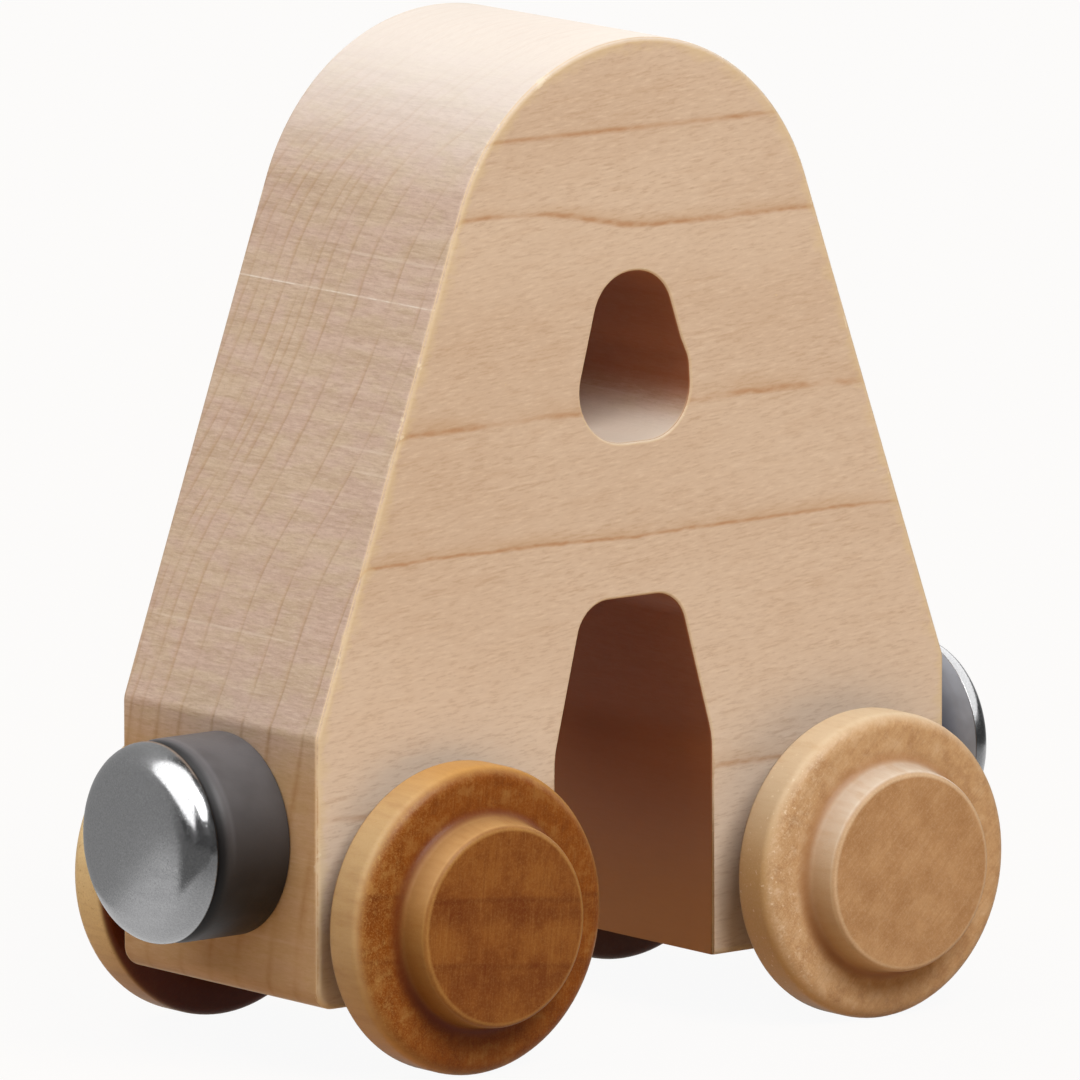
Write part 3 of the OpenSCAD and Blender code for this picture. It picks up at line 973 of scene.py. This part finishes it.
# %% Papers
def paper_finish(name, dark, pale):
    paper = Finish(name)
    across = paper.axis(paper.place(), "Y")
    shade = paper.blend(across.rise(0, 70), (dark,) * 3, (pale,) * 3)
    paper.add_output(paper.add("ShaderNodeEmission", {}, {"Color": shade, "Strength": 1}))
    return paper.material


def standing_paper(name, points, foot, height, material, lean=(0, 0)):
    """A sheet that stands on points of (x, y), upright or leaning, which only reflections see."""
    bm = bmesh.new()
    tip = bm.verts.new((points[0][0] * MM, points[0][1] * MM, foot * MM))
    for x, y in points[1:]:
        tip = bmesh.ops.extrude_vert_indiv(bm, verts=[tip])["verts"][0]
        tip.co = (x * MM, y * MM, foot * MM)
    upright = bmesh.ops.extrude_edge_only(bm, edges=bm.edges[:])["geom"]
    top = [v for v in upright if isinstance(v, bmesh.types.BMVert)]
    bmesh.ops.translate(bm, verts=top, vec=(lean[0] * MM, lean[1] * MM, height * MM))
    sheet = new_piece(name, bm, material)
    sheet.visible_camera = sheet.visible_diffuse = sheet.visible_shadow = False


WALL_RADIUS = 110
turns = [math.radians(degrees) for degrees in range(0, 361, 5)]
circle = [(WALL_RADIUS * math.cos(turn), WALL_RADIUS * math.sin(turn)) for turn in turns]
standing_paper("paper_wall", circle, 0, 70, paper_finish("wall_paper", 0.06, 0.40))
standing_paper("grey_card", [(-122, 73), (-44, 27), (-20, 36), (30, 40)], 0, 150,
               paper_finish("card_paper", 0.36, 0.36))
standing_paper("dark_card", [(-70, 24), (-56, 6), (-50, -28), (-30, -60)], 0, 14,
               paper_finish("dark_paper", 0.16, 0.16))
standing_paper("white_card", [(-98, -52), (-108, -22), (-108, 20), (-98, 50)], 36, 300,
               paper_finish("white_paper", 2.4, 2.4), lean=(150, -80))
standing_paper("backdrop", [(-30, 124), (40, 112), (108, 62)], 0, 260,
               paper_finish("backdrop_paper", 1.0, 1.0))
standing_paper("right_card", [(60, -60), (72, 0), (60, 60)], 26, 120,
               paper_finish("right_paper", 1.6, 1.6))

# %% [markdown]
# ## Light
#
# Four large soft lights hang far off: the main one above the visible face, a wide one above
# the front end, a weak one above the back and one lower at the back, towards the rear end. They
# are far away on purpose. A near light would leave the feet darker than the crown, and the wood
# would then need painted-in light to make up for it.


# %% Softboxes
LIT_SPOT, LAMP_DISTANCE = Vector((0, 0, 0.03)), 1.6


def softbox(name, direction, power, size=1.0):
    lamp = bpy.data.lights.new(name, "AREA")
    lamp.shape = "DISK"
    lamp.size = size
    lamp.energy = power
    box = bpy.data.objects.new(name, lamp)
    bpy.context.scene.collection.objects.link(box)
    way = Vector(direction).normalized()
    box.location = LIT_SPOT + way * LAMP_DISTANCE
    box.rotation_euler = (-way).to_track_quat("-Z", "Y").to_euler()
    print(name, "softbox:", power, "W")


softbox("face overhead", (-0.1, -0.9, 1), 23.5)
softbox("front end overhead", (-0.65, 0.15, 1), 13.5, 1.6)
softbox("back overhead", (0.2, 0.7, 0.8), 6)
softbox("back low", (0.5, 1, 0.45), 8)
bpy.context.scene.view_settings.view_transform = "Standard"

# %% [markdown]
# The finished surfaces have to stay inside the box of the packed solids.
